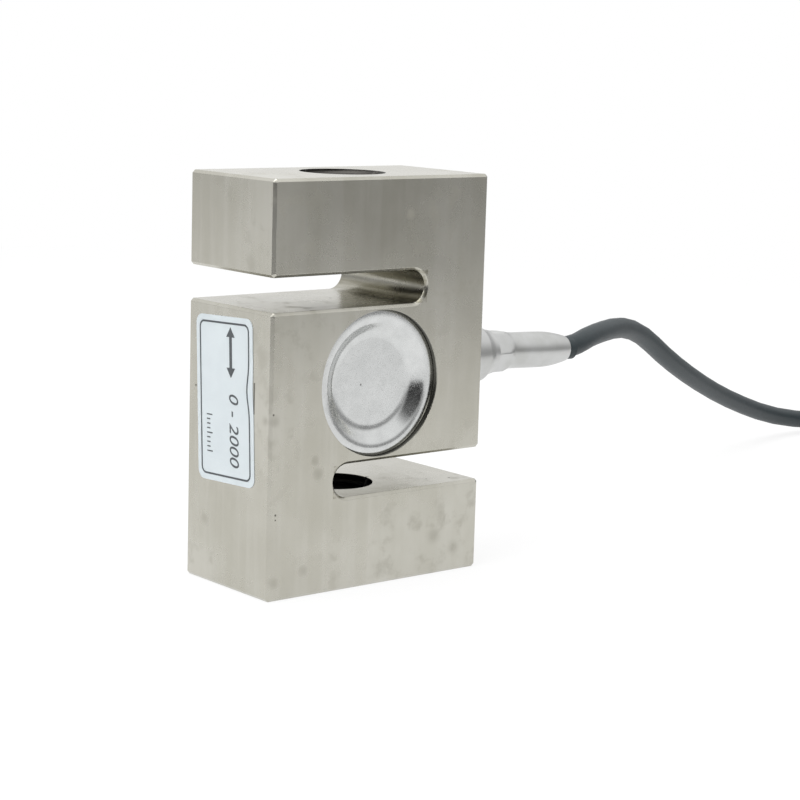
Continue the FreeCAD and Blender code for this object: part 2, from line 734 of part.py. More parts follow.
for side, name in ((-1, "front"), (1, "rear")):
    backing = gauge_backing(side)
    grid_a = gauge_grid(side, -1)
    grid_b = gauge_grid(side, 1)
    export(f"{name}_cover", cover(side))
    export(f"{name}_gauge_backing", backing)
    export(f"{name}_gauge_grid_a", grid_a)
    export(f"{name}_gauge_grid_b", grid_b)
    export(f"{name}_gauge_coating", gauge_coating(side, [backing, grid_a, grid_b]))
    export(f"{name}_terminal_strip", terminal_strip(side))

for i, colour in enumerate(("red", "black", "green", "white")):
    export(f"solder_{colour}", terminal_solder(-1, i))
    export(f"core_{colour}", core_in_cell(i))

export("zero_resistor", resistor(0))
export("span_resistor", resistor(1))
export("link_wire_a", link_wire(0))
export("link_wire_b", link_wire(1))
export("rear_solder_a", terminal_solder(1, 3))
export("rear_solder_b", terminal_solder(1, 2))

export("gland_gasket", gland_gasket())
export("gland_body", gland_body())
export("cable_entry", cable_entry())
export("rating_label", rating_label())

export("cable_lead", cable_lead())
export("cable_coil", cable_coil())
export("coil_tie_a", coil_tie(TIE_ANGLES[0]))
export("coil_tie_b", coil_tie(TIE_ANGLES[1]))

export("end_shrink", end_shrink())
for i, colour in ((0, "red"), (1, "black"), (3, "green"), (4, "white")):
    export(f"end_core_{colour}", end_core(i))
    export(f"end_tip_{colour}", end_tip(i))
export("end_drain", end_drain())
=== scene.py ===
import math

import bmesh
import bpy
from mathutils import Matrix, Vector


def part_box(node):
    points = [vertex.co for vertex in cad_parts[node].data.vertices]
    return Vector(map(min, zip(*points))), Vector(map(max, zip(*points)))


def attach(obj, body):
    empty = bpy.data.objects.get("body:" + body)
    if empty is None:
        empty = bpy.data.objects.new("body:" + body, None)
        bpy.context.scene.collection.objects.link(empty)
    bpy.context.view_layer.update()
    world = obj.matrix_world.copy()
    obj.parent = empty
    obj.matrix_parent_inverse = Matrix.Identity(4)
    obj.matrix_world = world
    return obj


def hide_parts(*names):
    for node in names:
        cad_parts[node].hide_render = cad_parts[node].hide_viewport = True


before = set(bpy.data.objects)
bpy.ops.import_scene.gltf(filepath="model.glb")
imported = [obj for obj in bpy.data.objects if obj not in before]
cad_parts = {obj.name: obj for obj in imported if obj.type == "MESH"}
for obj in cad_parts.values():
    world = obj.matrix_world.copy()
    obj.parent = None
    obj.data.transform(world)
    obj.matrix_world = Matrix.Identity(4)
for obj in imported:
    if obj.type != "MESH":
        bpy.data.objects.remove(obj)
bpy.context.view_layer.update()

bpy.context.scene.view_settings.view_transform = "Standard"


# ---- Viewpoint ---------------------------------------------------------------
# A short telephoto view from the front left, a little above the cell.
camera_data = bpy.data.cameras.new("camera")
camera_data.sensor_width = 36.0
camera_data.lens = 95.52
camera = bpy.data.objects.new("camera", camera_data)
camera.location = (-0.24416, -0.31125, 0.10090)
look = Vector((0.63153, 0.75683, -0.16846))
camera.rotation_euler = look.to_track_quat("-Z", "Y").to_euler()
camera_roll = math.radians(1.70)
camera.rotation_euler.rotate_axis("Z", camera_roll)
bpy.context.scene.collection.objects.link(camera)
bpy.context.scene.camera = camera


# ---- Spring element --------------------------------------------------------------
# One block of alloy steel, milled to an S, ground and nickel plated. A fine M16
# thread is tapped into each arm. Handling has left stains, streaks and small nicks.
def add_node(tree, kind, settings, sockets):
    """A new node: its settings first, then its sockets' values and links."""
    made = tree.nodes.new(kind)
    for name, setting in settings.items():
        setattr(made, name, setting)
    for name, value in sockets.items():
        value = getattr(value, "socket", value)
        if isinstance(value, bpy.types.NodeSocket):
            tree.links.new(value, made.inputs[name])
        else:
            made.inputs[name].default_value = value
    return made


class Value:
    """A shader socket that adds, subtracts and multiplies."""

    def __init__(self, finish, socket):
        self.finish = finish
        self.socket = socket

    def run(self, operation, *values):
        return self.finish.run(operation, *values)

    def __add__(self, other):
        return self.run("ADD", self, other)

    __radd__ = __add__

    def __mul__(self, other):
        return self.run("MULTIPLY", self, other)

    __rmul__ = __mul__

    def __sub__(self, other):
        return self.run("SUBTRACT", self, other)

    def __rsub__(self, other):
        return self.run("SUBTRACT", other, self)

    def below(self, limit):
        return self.run("LESS_THAN", self, limit)

    def above(self, limit):
        return self.run("GREATER_THAN", self, limit)

    def between(self, low, high):
        return self.above(low) * self.below(high)

    def ramp(self, low, high):
        """0 at low, 1 at high, smooth between."""
        return self.finish.node("ShaderNodeMapRange", {"interpolation_type": "SMOOTHSTEP"},
                                {"Value": self, "From Min": low, "From Max": high})


class Finish:
    """A material, or the world, whose nodes are added one by one."""

    def __init__(self, name, owner=None, shader="Principled BSDF", place="Object"):
        self.material = owner or bpy.data.materials.new(name)
        self.material.use_nodes = True
        self.tree = self.material.node_tree
        self.shader = self.tree.nodes[shader]
        self.place = self.node("ShaderNodeTexCoord", {}, {}, place)

    def node(self, kind, settings, sockets, output=0):
        return Value(self, add_node(self.tree, kind, settings, sockets).outputs[output])

    def set(self, constants):
        """Constants on the shader's own sockets."""
        for name, value in constants.items():
            self.shader.inputs[name].default_value = value
        return self

    def drive(self, name, value):
        """Link what varies over the surface to one of the shader's sockets."""
        self.tree.links.new(value.socket, self.shader.inputs[name])

    def scaled(self, x, y, z):
        """The place, stretched along each axis, for streaks."""
        return self.node("ShaderNodeVectorMath", {"operation": "MULTIPLY"},
                         {0: self.place, 1: (x, y, z)})

    def run(self, operation, *values):
        return self.node("ShaderNodeMath", {"operation": operation}, dict(enumerate(values)))

    def axes(self):
        """The three coordinates of the place, one value each."""
        return [self.node("ShaderNodeSeparateXYZ", {}, {0: self.place}, axis) for axis in range(3)]

    def noise(self, where, scale, detail=4.0, rough=0.55):
        return self.node("ShaderNodeTexNoise", {},
                         {"Vector": where, "Scale": scale, "Detail": detail, "Roughness": rough})

    def blend(self, factor, first, second):
        """A mix of two colours."""
        def colour(c):
            return c if isinstance(c, Value) else (*c, 1)
        return self.node("ShaderNodeMix", {"data_type": "RGBA"},
                         {0: factor, 6: colour(first), 7: colour(second)}, 2)

    def spots(self, marks, ragged, edge=0.4):
        """1 inside small marks given as (middle, radius), 0 outside; edge is their core's share."""
        total = 0.0
        for middle, radius in marks:
            away = self.node("ShaderNodeVectorMath", {"operation": "DISTANCE"},
                             {0: self.place, 1: middle}, 1)
            away = away * (0.4 + ragged * 1.2)
            total = away.ramp(radius, radius * edge) + total
        return total.run("MINIMUM", total, 1.0)

    def bump(self, height, distance):
        """Height in shares of distance, in metres."""
        self.drive("Normal", self.node("ShaderNodeBump", {},
                                       {"Height": height, "Distance": distance}))


plated_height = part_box("spring_element")[1][2]
pocket_height = plated_height / 2
arm_height = 0.0174
slot_radius = 0.0031
edge_softness = 0.00022
flat_angle = 0.5             # degrees; facets that meet flatter than this are one flat
sharp_angle = 28
thread_pitch = 0.0015
thread_root = 0.0080
thread_crest = 0.007188
thread_mouth = 0.00805
thread_steps = 64
thread_profile = [(0.0, 1.0), (0.125, 1.0), (0.44, 0.0), (0.69, 0.0)]  # shares of pitch and depth


def merged_copy(node, name):
    """A CAD node's mesh as a new object, its loose triangles joined and flats merged."""
    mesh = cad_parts[node].data.copy()
    mesh.name = name
    work = bmesh.new()
    work.from_mesh(mesh)
    bmesh.ops.remove_doubles(work, verts=work.verts, dist=1e-6)
    bmesh.ops.dissolve_limit(work, angle_limit=math.radians(flat_angle), verts=work.verts,
                             edges=work.edges)
    work.to_mesh(mesh)
    work.free()
    made = bpy.data.objects.new(name, mesh)
    bpy.context.scene.collection.objects.link(made)
    return made


def plain(made):
    """Turn an object with modifiers into a plain mesh."""
    graph = bpy.context.evaluated_depsgraph_get()
    mesh = bpy.data.meshes.new_from_object(made.evaluated_get(graph))
    made.modifiers.clear()
    made.data = mesh
    return made


def new_piece(name, work, *materials, smooth=None):
    """A finished piece from a bmesh; smooth is the angle in degrees that stays sharp."""
    bmesh.ops.recalc_face_normals(work, faces=work.faces)
    mesh = bpy.data.meshes.new(name)
    work.to_mesh(mesh)
    work.free()
    for material in materials:
        mesh.materials.append(material)
    made = bpy.data.objects.new(name, mesh)
    bpy.context.scene.collection.objects.link(made)
    if smooth is not None:
        mesh.shade_smooth()
        mesh.set_sharp_from_angle(angle=math.radians(smooth))
    return made


def skin(work, rings, closed=False):
    """Faces over rings of as many points each, capped, or closed from the last to the first."""
    loops = [[work.verts.new(point) for point in ring] for ring in rings]
    for first, second in zip(loops, loops[1:] + loops[:1] if closed else loops[1:]):
        for i in range(len(first)):
            j = (i + 1) % len(first)
            work.faces.new((first[i], first[j], second[j], second[i]))
    if not closed:
        work.faces.new(loops[0][::-1])
        work.faces.new(loops[-1])


def thread_tap(name, face_z, inward):
    """A helical rod that cuts the thread and its small countersink in one arm."""
    rings = []
    turns = int((arm_height + slot_radius) / thread_pitch) + 2
    for turn in range(-2, turns):
        for share, depth in thread_profile:
            ring = []
            for i in range(thread_steps):
                angle = math.tau * i / thread_steps
                along = (turn + share + i / thread_steps) * thread_pitch
                radius = thread_crest + (thread_root - thread_crest) * depth
                radius = max(radius, min(thread_mouth, thread_mouth - along))
                ring.append((radius * math.cos(angle), radius * math.sin(angle),
                             face_z + inward * along))
            rings.append(ring)
    work = bmesh.new()
    skin(work, rings)
    return new_piece(name, work)


inside = 0.00005                     # kept back from the edges of the bores and slots
bore_reach = 0.0081                  # painted shade inside the threaded bores
groove_radii = (0.01340, 0.01372)    # painted shade in the gap round each cover
groove_depth = 0.01275
slot_flat, slot_tip = 0.0068, 0.0105   # milling marks on the slots' round ends
lifted_side = -0.0249                # the label's lifted edge, with a painted shadow behind it
lifted_middle = -0.0080
lifted_width = 0.00020
lifted_span = (0.0337, 0.0394)
plating_nicks = [
    ((-0.0235, -0.0130, 0.0160), 0.00028), ((-0.0235, -0.0130, 0.0151), 0.00020),
    ((-0.0130, 0.0127, 0.0524), 0.00040), ((-0.0017, 0.0006, 0.0524), 0.00030),
    ((-0.0084, -0.0130, 0.0175), 0.00028), ((-0.0250, 0.0104, 0.0364), 0.00030),
    ((-0.0243, -0.0130, 0.0343), 0.00024), ((-0.0249, -0.0129, 0.0016), 0.00026),
    ((0.0160, -0.0080, 0.0174), 0.00030), ((0.0205, -0.0095, 0.0174), 0.00036),
]
plating_smudges = [
    ((0.0190, -0.0130, 0.0045), 0.0020), ((-0.0141, -0.0130, 0.0225), 0.0016),
    ((-0.0148, -0.0130, 0.0250), 0.0012), ((-0.0240, -0.0130, 0.0330), 0.0014),
    ((-0.0250, 0.0070, 0.0118), 0.0018), ((0.0140, -0.0130, 0.0075), 0.0022),
    ((-0.0170, -0.0130, 0.0050), 0.0016), ((-0.0236, -0.0130, 0.0035), 0.0016),
    ((-0.0250, -0.0115, 0.0330), 0.0013), ((0.0060, -0.0130, 0.0690), 0.0014),
]


def plating_finish():
    plate = Finish("nickel_plating")
    plate.set({"Metallic": 1.0})
    x, y, z = plate.axes()
    broad = plate.noise(plate.place, 40.0, 4.0, 0.55)
    blotch = plate.noise(plate.place, 230.0, 6.0, 0.62)
    cloud = plate.noise(plate.scaled(1.0, 1.0, 0.55), 95.0, 3.0)
    streak = plate.noise(plate.scaled(1.0, 1.0, 0.05), 330.0, 3.0)
    fine = plate.noise(plate.place, 2400.0, 2.0)
    stain = blotch.ramp(0.50, 0.68) * broad.ramp(0.40, 0.60)

    low_arm, low_shelf = arm_height, arm_height + 2 * slot_radius
    high_arm, high_shelf = plated_height - low_arm, plated_height - low_shelf
    from_axis = plate.run("SQRT", x * x + y * y)
    painted_bore_shade = (from_axis.below(bore_reach)
               * (z.below(low_arm - inside) + z.above(high_arm + inside)))
    up = z - pocket_height
    from_pocket = plate.run("SQRT", x * x + up * up)
    painted_groove_shade = (from_pocket.between(*groove_radii)
                 * plate.run("ABSOLUTE", y).below(groove_depth))
    lower_slot = z.between(low_arm + inside, low_shelf - inside) * x.between(-slot_tip, -slot_flat)
    upper_slot = z.between(high_shelf + inside, high_arm - inside) * x.between(slot_flat, slot_tip)
    milled = plate.noise(plate.scaled(1.0, 0.04, 1.0), 700.0, 3.0)
    in_slot = (lower_slot + upper_slot) * milled.ramp(0.30, 0.62)
    smudge = plate.spots(plating_smudges, blotch, 0.1)
    nick = plate.spots(plating_nicks, blotch)
    painted_label_edge_shadow = (x.below(lifted_side) * z.between(*lifted_span)
                   * plate.run("ABSOLUTE", y - lifted_middle).below(lifted_width))

    base = plate.blend(broad.ramp(0.30, 0.70), (0.475, 0.462, 0.402), (0.560, 0.548, 0.490))
    base = plate.blend(streak.ramp(0.35, 0.72) * 0.28, base, (0.64, 0.63, 0.585))
    base = plate.blend(cloud.ramp(0.42, 0.66) * 0.22, base, (0.42, 0.41, 0.345))
    base = plate.blend(stain * 0.30, base, (0.33, 0.315, 0.255))
    base = plate.blend(smudge * 0.18, base, (0.30, 0.285, 0.225))
    # painted shadow: a dark sliver on the block along the label's lifted front edge
    base = plate.blend(painted_label_edge_shadow * 0.80, base, (0.075, 0.070, 0.060))
    base = plate.blend(in_slot * 0.75, base, (0.20, 0.185, 0.13))
    # painted shade: the gap round each cover is coloured dark
    base = plate.blend(painted_groove_shade * 0.85, base, (0.070, 0.068, 0.058))
    # painted shade: the threaded bores are coloured almost black
    base = plate.blend(painted_bore_shade * 0.93, base, (0.020, 0.018, 0.018))
    base = plate.blend(nick * 0.80, base, (0.060, 0.055, 0.045))
    plate.drive("Base Color", base)
    plate.drive("Roughness", 0.22 + 0.10 * broad + 0.10 * stain + 0.15 * smudge
                + 0.25 * nick + 0.2 * painted_bore_shade)
    plate.bump(streak * 0.35 + blotch * 0.45 + fine * 0.2 - nick * 2.0, 0.000009)
    return plate.material


block = merged_copy("spring_element", "s_block")
soft_edges = block.modifiers.new("soft_edges", "BEVEL")
soft_edges.width = edge_softness
soft_edges.segments = 2
soft_edges.limit_method = "ANGLE"
soft_edges.angle_limit = math.radians(30)
taps = [thread_tap("lower_tap", 0.0, 1), thread_tap("upper_tap", plated_height, -1)]
for tap in taps:
    cut = block.modifiers.new("thread", "BOOLEAN")
    cut.operation = "DIFFERENCE"
    cut.solver = "EXACT"
    cut.object = tap
plain(block)
for tap in taps:
    bpy.data.objects.remove(tap)
block.data.materials.clear()
block.data.materials.append(plating_finish())
block.data.shade_smooth()
block.data.set_sharp_from_angle(angle=math.radians(sharp_angle))
even = block.modifiers.new("even_flats", "WEIGHTED_NORMAL")
even.mode = "FACE_AREA"
even.weight = 100
even.keep_sharp = True
plain(block)
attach(block, "root")
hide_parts("spring_element")


# ---- Gauges on the web -------------------------------------------------------------
# Foil grids on an amber polyimide film, glued at 45 degrees on both sides of the
# thin web and sealed under soft silicone.
def dress(material, *nodes):
    """Give carried-over CAD nodes their finish."""
    for node in nodes:
        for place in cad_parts[node].material_slots:
            place.material = material


def two_tone(name, low, high, scale, roughness, bump=0.00002, constants={}):
    """A cloudy finish between two close colours; the grain is nine times as fine."""
    finish = Finish(name).set(constants)
    cloud = finish.noise(finish.place, scale)
    grain = finish.noise(finish.place, scale * 9, 2.0)
    finish.drive("Base Color", finish.blend(cloud, low, high))
    finish.drive("Roughness", roughness + 0.15 * grain)
    finish.bump(grain, bump)
    return finish.material


dress(two_tone("polyimide_film", (0.42, 0.20, 0.035), (0.55, 0.29, 0.06), 700.0, 0.25),
      "front_gauge_backing", "rear_gauge_backing")
dress(two_tone("constantan_foil", (0.62, 0.55, 0.46), (0.72, 0.65, 0.56), 1500.0, 0.28,
               constants={"Metallic": 1.0}),
      "front_gauge_grid_a", "front_gauge_grid_b", "rear_gauge_grid_a", "rear_gauge_grid_b")
dress(two_tone("silicone_seal", (0.55, 0.56, 0.55), (0.68, 0.69, 0.68), 500.0, 0.22,
               constants={"Transmission Weight": 0.55, "IOR": 1.41}),
      "front_gauge_coating", "rear_gauge_coating")


# ---- Terminal strips, solder, resistors and link wires -------------------------------
# Small glass-fibre boards glued below the gauges carry the solder joints. Two trim
# resistors lie above the front gauge and two enamelled wires pass through the web.
dress(two_tone("glass_fibre_board", (0.12, 0.24, 0.08), (0.18, 0.32, 0.11), 900.0, 0.40),
      "front_terminal_strip", "rear_terminal_strip")
dress(two_tone("tin_solder", (0.58, 0.58, 0.57), (0.72, 0.72, 0.71), 1800.0, 0.24,
               constants={"Metallic": 1.0}),
      "solder_red", "solder_black", "solder_green", "solder_white",
      "rear_solder_a", "rear_solder_b")
dress(two_tone("resistor_lacquer", (0.10, 0.20, 0.42), (0.15, 0.28, 0.52), 800.0, 0.30),
      "zero_resistor", "span_resistor")
dress(two_tone("wire_enamel", (0.36, 0.10, 0.03), (0.50, 0.17, 0.05), 1600.0, 0.22,
               constants={"Metallic": 0.6}),
      "link_wire_a", "link_wire_b")


# ---- Cores in the cell ----------------------------------------------------------------
# Four insulated cores, one colour each, led from the gland through the slanting
# passage to the front strip; the same cores show again at the cable's free end.
core_colours = {
    "red": ((0.50, 0.025, 0.020), (0.62, 0.045, 0.035)),
    "black": ((0.012, 0.012, 0.013), (0.026, 0.026, 0.028)),
    "green": ((0.020, 0.22, 0.065), (0.035, 0.31, 0.10)),
    "white": ((0.66, 0.66, 0.63), (0.78, 0.78, 0.75)),
}
tinned = two_tone("tinned_copper", (0.56, 0.53, 0.48), (0.72, 0.69, 0.64), 2400.0, 0.28,
                  constants={"Metallic": 1.0})
for colour, (low, high) in core_colours.items():
    insulation = two_tone(f"{colour}_insulation", low, high, 400.0, 0.35)
    dress(insulation, f"core_{colour}", f"end_core_{colour}")
    dress(tinned, f"end_tip_{colour}")
dress(tinned, "end_drain")


# ---- Gauge covers ------------------------------------------------------------------
# Two thin stainless dishes, pressed and polished, pushed into the round pockets
# until their flat rims sit on a shoulder just below the face.
cover_sheet = 0.0005
cover_nick = ((-0.0024, -0.0101, 0.0376), 0.00022)
cover_profile = [
    (0.0, 0.00182), (0.0040, 0.00181), (0.0080, 0.00180), (0.0088, 0.00177), (0.0092, 0.00166),
    (0.0096, 0.00146), (0.0104, 0.00090), (0.0110, 0.00044), (0.0114, 0.00018), (0.0118, 0.00005),
    (0.0123, 0.0), (0.0130, 0.0), (0.01352, 0.00003), (0.01362, 0.00012),
]


def lathe(profile, place, steps=160):
    """A closed profile turned round an axis; place maps (radius, along, angle) to a point."""
    work = bmesh.new()
    rings = []
    for radius, along in profile:
        if radius == 0.0:
            rings.append([work.verts.new(place(0.0, along, 0.0))])
        else:
            rings.append([work.verts.new(place(radius, along, math.tau * i / steps))
                          for i in range(steps)])
    for first, second in zip(rings, rings[1:] + rings[:1]):
        for i in range(steps):
            j = (i + 1) % steps
            corners = [first[i % len(first)], first[j % len(first)],
                       second[j % len(second)], second[i % len(second)]]
            distinct = list(dict.fromkeys(corners))
            if len(distinct) > 2:
                work.faces.new(distinct)
    return work


def cover_finish():
    steel = Finish("polished_cover")
    steel.set({"Metallic": 1.0})
    cloud = steel.noise(steel.place, 330.0, 5.0, 0.6)
    speck = steel.noise(steel.place, 2600.0, 2.0)
    scratch = steel.node("ShaderNodeTexWave",
                         {"wave_type": "BANDS", "bands_direction": "DIAGONAL"},
                         {"Vector": steel.place, "Scale": 260.0, "Distortion": 24.0,
                          "Detail": 4.0, "Detail Scale": 3.0})
    fine = scratch.ramp(0.94, 0.995)
    dot = steel.spots([cover_nick], cloud)
    base = steel.blend(cloud.ramp(0.3, 0.7), (0.585, 0.595, 0.59), (0.665, 0.675, 0.67))
    base = steel.blend(fine * 0.35, base, (0.76, 0.77, 0.76))
    base = steel.blend(dot * 0.8, base, (0.16, 0.16, 0.15))
    steel.drive("Base Color", base)
    steel.drive("Roughness", 0.13 + 0.10 * cloud + 0.12 * fine)
    steel.bump(cloud * 0.8 + fine * 0.15 + speck * 0.05 - dot * 1.5, 0.000009)
    return steel.material


cover_steel = cover_finish()
for node, side in (("front_cover", -1), ("rear_cover", 1)):
    low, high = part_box(node)
    rim_face = low[1] if side < 0 else high[1]
    middle_z = (low[2] + high[2]) / 2
    inner = [(radius, along + cover_sheet) for radius, along in reversed(cover_profile)]
    inner[0] = (cover_profile[-1][0], cover_sheet)

    def on_cover(radius, along, angle):
        return (radius * math.cos(angle), rim_face - side * along,
                middle_z + radius * math.sin(angle))

    dish = new_piece(f"{node}_dish", lathe(cover_profile + inner, on_cover), cover_steel,
                     smooth=40)
    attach(dish, "root")
    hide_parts(node)


# ---- Cable gland -----------------------------------------------------------------------
# Turned brass, nickel plated: a flange on a rubber washer, a collar, a hexagon for
# the spanner and a thin sleeve that is crimped onto the cable's jacket.
block_side = 0.025
gland_height = 0.0395
gland_steps = 96
droop = math.radians(2.5)
sleeve_bend = 0.0155
bend_reach = 0.0009
hex_span = (0.0126, 0.0169)  # between these the outside is a hexagon, flats up and down
hex_apothem = 0.0039
sixth = math.radians(60)


def gland_finish():
    nickel = Finish("gland_nickel")
    nickel.set({"Metallic": 1.0})
    cloud = nickel.noise(nickel.place, 190.0, 4.0)
    turned = nickel.noise(nickel.scaled(1.0, 0.05, 0.05), 3000.0, 2.0)
    base = nickel.blend(cloud.ramp(0.3, 0.7), (0.52, 0.525, 0.51), (0.60, 0.605, 0.60))
    nickel.drive("Base Color", base)
    nickel.drive("Roughness", 0.26 + 0.08 * cloud + 0.06 * turned)
    nickel.bump(turned * 0.3 + cloud * 0.7, 0.000004)
    return nickel.material


def gland_point(radius, along, angle):
    """Along runs out from the block's side; the axis droops past a short bend."""
    if hex_span[0] <= along <= hex_span[1]:
        radius = min(radius, hex_apothem / math.cos(angle % sixth - sixth / 2))
    across = radius * math.cos(angle)
    up = radius * math.sin(angle)
    past = max(0.0, along - sleeve_bend)
    lean = droop * min(1.0, max(0.0, (along - sleeve_bend + bend_reach) / (2 * bend_reach)))
    x = block_side + min(along, sleeve_bend) + past * math.cos(droop) + up * math.sin(lean)
    z = gland_height - past * math.sin(droop) + up * math.cos(lean)
    return (x, across, z)


gland_profile = [
    (0.0023, -0.0072), (0.00330, -0.0072), (0.00345, -0.0070), (0.00345, 0.0008),
    (0.0060, 0.0008), (0.0062, 0.0010), (0.0062, 0.0029), (0.0061, 0.0031),
    (0.0059, 0.0032), (0.0058, 0.0034), (0.0058, 0.0088), (0.00568, 0.0093),
    (0.00540, 0.0098), (0.00512, 0.0103), (0.00486, 0.0108), (0.00468, 0.0113),
    (0.00456, 0.0118), (0.00448, 0.0123), (0.00445, 0.0125),
    (0.00444, 0.0126), (0.00444, 0.0150), (0.00436, 0.0156), (0.00412, 0.0163),
    (0.00388, 0.0169),
    (0.00380, 0.0172), (0.00372, 0.0176), (0.00367, 0.0182), (0.00365, 0.0190),
    (0.00365, 0.0246), (0.00366, 0.0250), (0.00362, 0.0254), (0.00365, 0.0258),
    (0.00364, 0.0266), (0.00361, 0.0277), (0.00352, 0.0288), (0.00338, 0.0299),
    (0.00320, 0.0310), (0.00301, 0.0320), (0.00282, 0.0329), (0.00270, 0.0334),
    (0.00264, 0.03362), (0.00240, 0.03366), (0.00234, 0.0335),
    (0.0023, 0.0320), (0.0023, 0.0155), (0.0023, 0.0100), (0.0023, 0.0),
]
gland = new_piece("crimped_gland", lathe(gland_profile, gland_point, gland_steps),
                  gland_finish(), smooth=sharp_angle)
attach(gland, "root")
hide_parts("gland_body")

dress(two_tone("washer_rubber", (0.035, 0.035, 0.036), (0.060, 0.060, 0.062), 900.0, 0.65),
      "gland_gasket")


# ---- Rating label --------------------------------------------------------------------------
# A printed film, stuck on a little crooked. It carries a thin border, the range in
# plain figures, a short scale and a two-headed arrow. One long edge has lifted; its
# shadow is painted on the block.
label_width = 0.0176
label_length = 0.0306
label_corner = 0.0018
label_middle = (0.0009, 0.0350)
label_tilt = math.radians(2.8)
film_face = -0.02510
ink_face = -0.02514
border_inset = 0.00105
border_line = 0.00034
border_corner = label_corner - 0.0004
sheet_bow = 0.0002
border_bow = 0.0007
bow_middle, bow_reach = 0.0022, 0.0030
bow_steps = 24
corner_steps = 8
figure_height = 0.0040
figure_slant = 0.2
figure_place = (-0.0026, -0.0052)
scale_length = 0.0068
scale_place = (0.0058, -0.0031)
arrow_middle = (-0.0020, 0.0088)
arrow_outline = [
    (0.0004, 0.0), (0.0004, 0.0028), (0.0013, 0.0028), (0.0, 0.0046),
    (-0.0013, 0.0028), (-0.0004, 0.0028), (-0.0004, 0.0),
]


def label_place(across, up, x):
    """A point on the label; across runs from its front edge to its rear edge."""
    y = label_middle[0] + across * math.cos(label_tilt) + up * math.sin(label_tilt)
    z = label_middle[1] - across * math.sin(label_tilt) + up * math.cos(label_tilt)
    return Vector((x, y, z))


def rounded_outline(width, length, corner, bow=0.0):
    """Outline of a rounded oblong; bow is how far its front edge dips inward."""
    points = []
    for side_x, side_y, start in ((1, 1, 0), (-1, 1, 90), (-1, -1, 180), (1, -1, 270)):
        for i in range(corner_steps + 1):
            angle = math.radians(start + i * 90 / corner_steps)
            points.append((side_x * (width / 2 - corner) + corner * math.cos(angle),
                           side_y * (length / 2 - corner) + corner * math.sin(angle)))
        if bow and start == 90:
            for i in range(1, bow_steps):
                up = (length / 2 - corner) * (1 - 2 * i / bow_steps)
                dip = bow * math.exp(-((up - bow_middle) / bow_reach) ** 2)
                points.append((-width / 2 + dip, up))
    return points


def label_ring(outline, x):
    return [label_place(across, up, x) for across, up in outline]


def marks_tree():
    """Small blocks spaced along a path; one in so many of them is longer."""
    tree = bpy.data.node_groups.new("marks_along_path", "GeometryNodeTree")
    for name, kind in (("Path", "Geometry"), ("Count", "Int"), ("Size", "Vector"),
                       ("Long Every", "Int"), ("Long Scale", "Vector"), ("Finish", "Material")):
        tree.interface.new_socket(name, in_out="INPUT", socket_type=f"NodeSocket{kind}")
    tree.interface.new_socket("Marks", in_out="OUTPUT", socket_type="NodeSocketGeometry")

    def node(kind, settings, sockets, output=0):
        return add_node(tree, kind, settings, sockets).outputs[output]

    given = add_node(tree, "NodeGroupInput", {}, {}).outputs
    line = node("GeometryNodeMeshToCurve", {}, {"Mesh": given["Path"]})
    spaced = node("GeometryNodeResampleCurve", {"mode": "COUNT"},
                  {"Curve": line, "Count": given["Count"]})
    tangent = node("GeometryNodeInputTangent", {}, {})
    turn = node("FunctionNodeAlignRotationToVector", {"axis": "X", "pivot_axis": "Z"},
                {"Vector": tangent})
    mark = node("GeometryNodeMeshCube", {}, {"Size": given["Size"]})
    half = node("ShaderNodeVectorMath", {"operation": "MULTIPLY"},
                {0: given["Size"], 1: (0, 0.5, 0)})
    hung = node("GeometryNodeTransform", {}, {"Geometry": mark, "Translation": half})
    index = node("GeometryNodeInputIndex", {}, {})
    step = node("ShaderNodeMath", {"operation": "MODULO"}, {0: index, 1: given["Long Every"]})
    first = node("ShaderNodeMath", {"operation": "LESS_THAN"}, {0: step, 1: 0.5})
    scale = node("ShaderNodeMix", {"data_type": "VECTOR"},
                 {0: first, 4: (1, 1, 1), 5: given["Long Scale"]}, 1)
    placed = node("GeometryNodeInstanceOnPoints", {},
                  {"Points": spaced, "Instance": hung, "Rotation": turn, "Scale": scale})
    real = node("GeometryNodeRealizeInstances", {}, {0: placed})
    finished = node("GeometryNodeSetMaterial", {},
                    {"Geometry": real, "Material": given["Finish"]})
    add_node(tree, "NodeGroupOutput", {}, {0: finished})
    return tree


def marks_along(points, sizes):
    """The mesh of blocks along a path in the XY plane, as the tree makes it."""
    mesh = bpy.data.meshes.new("path")
    mesh.from_pydata([(x, y, 0) for x, y in points],
                     [(i, i + 1) for i in range(len(points) - 1)], [])
    made = bpy.data.objects.new("path", mesh)
    bpy.context.scene.collection.objects.link(made)
    marks = made.modifiers.new("marks", "NODES")
    marks.node_group = mark_nodes
    for item in mark_nodes.interface.items_tree:
        if item.in_out == "INPUT" and item.name in sizes:
            marks[item.identifier] = sizes[item.name]
    mesh = plain(made).data
    bpy.data.objects.remove(made)
    return mesh


mark_nodes = marks_tree()


def film_finish():
    film = Finish("label_film")
    film.set({"Specular IOR Level": 0.4})
    cloud = film.noise(film.place, 150.0, 3.0)
    grain = film.noise(film.place, 1500.0, 2.0)
    film.drive("Base Color", film.blend(cloud, (0.50, 0.55, 0.575), (0.57, 0.62, 0.64)))
    film.drive("Roughness", 0.30 + 0.14 * grain)
    film.bump(cloud * 0.8 + grain * 0.2, 0.00005)
    return film.material


ink = two_tone("printing_ink", (0.045, 0.052, 0.058), (0.075, 0.083, 0.090), 1800.0, 0.45,
               0.000004)
label_work = bmesh.new()
sheet_outline = rounded_outline(label_width, label_length, label_corner, sheet_bow)
skin(label_work, [label_ring(sheet_outline, -block_side), label_ring(sheet_outline, film_face)])
label = new_piece("label_sheet", label_work, film_finish())
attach(label, "root")
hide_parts("rating_label")

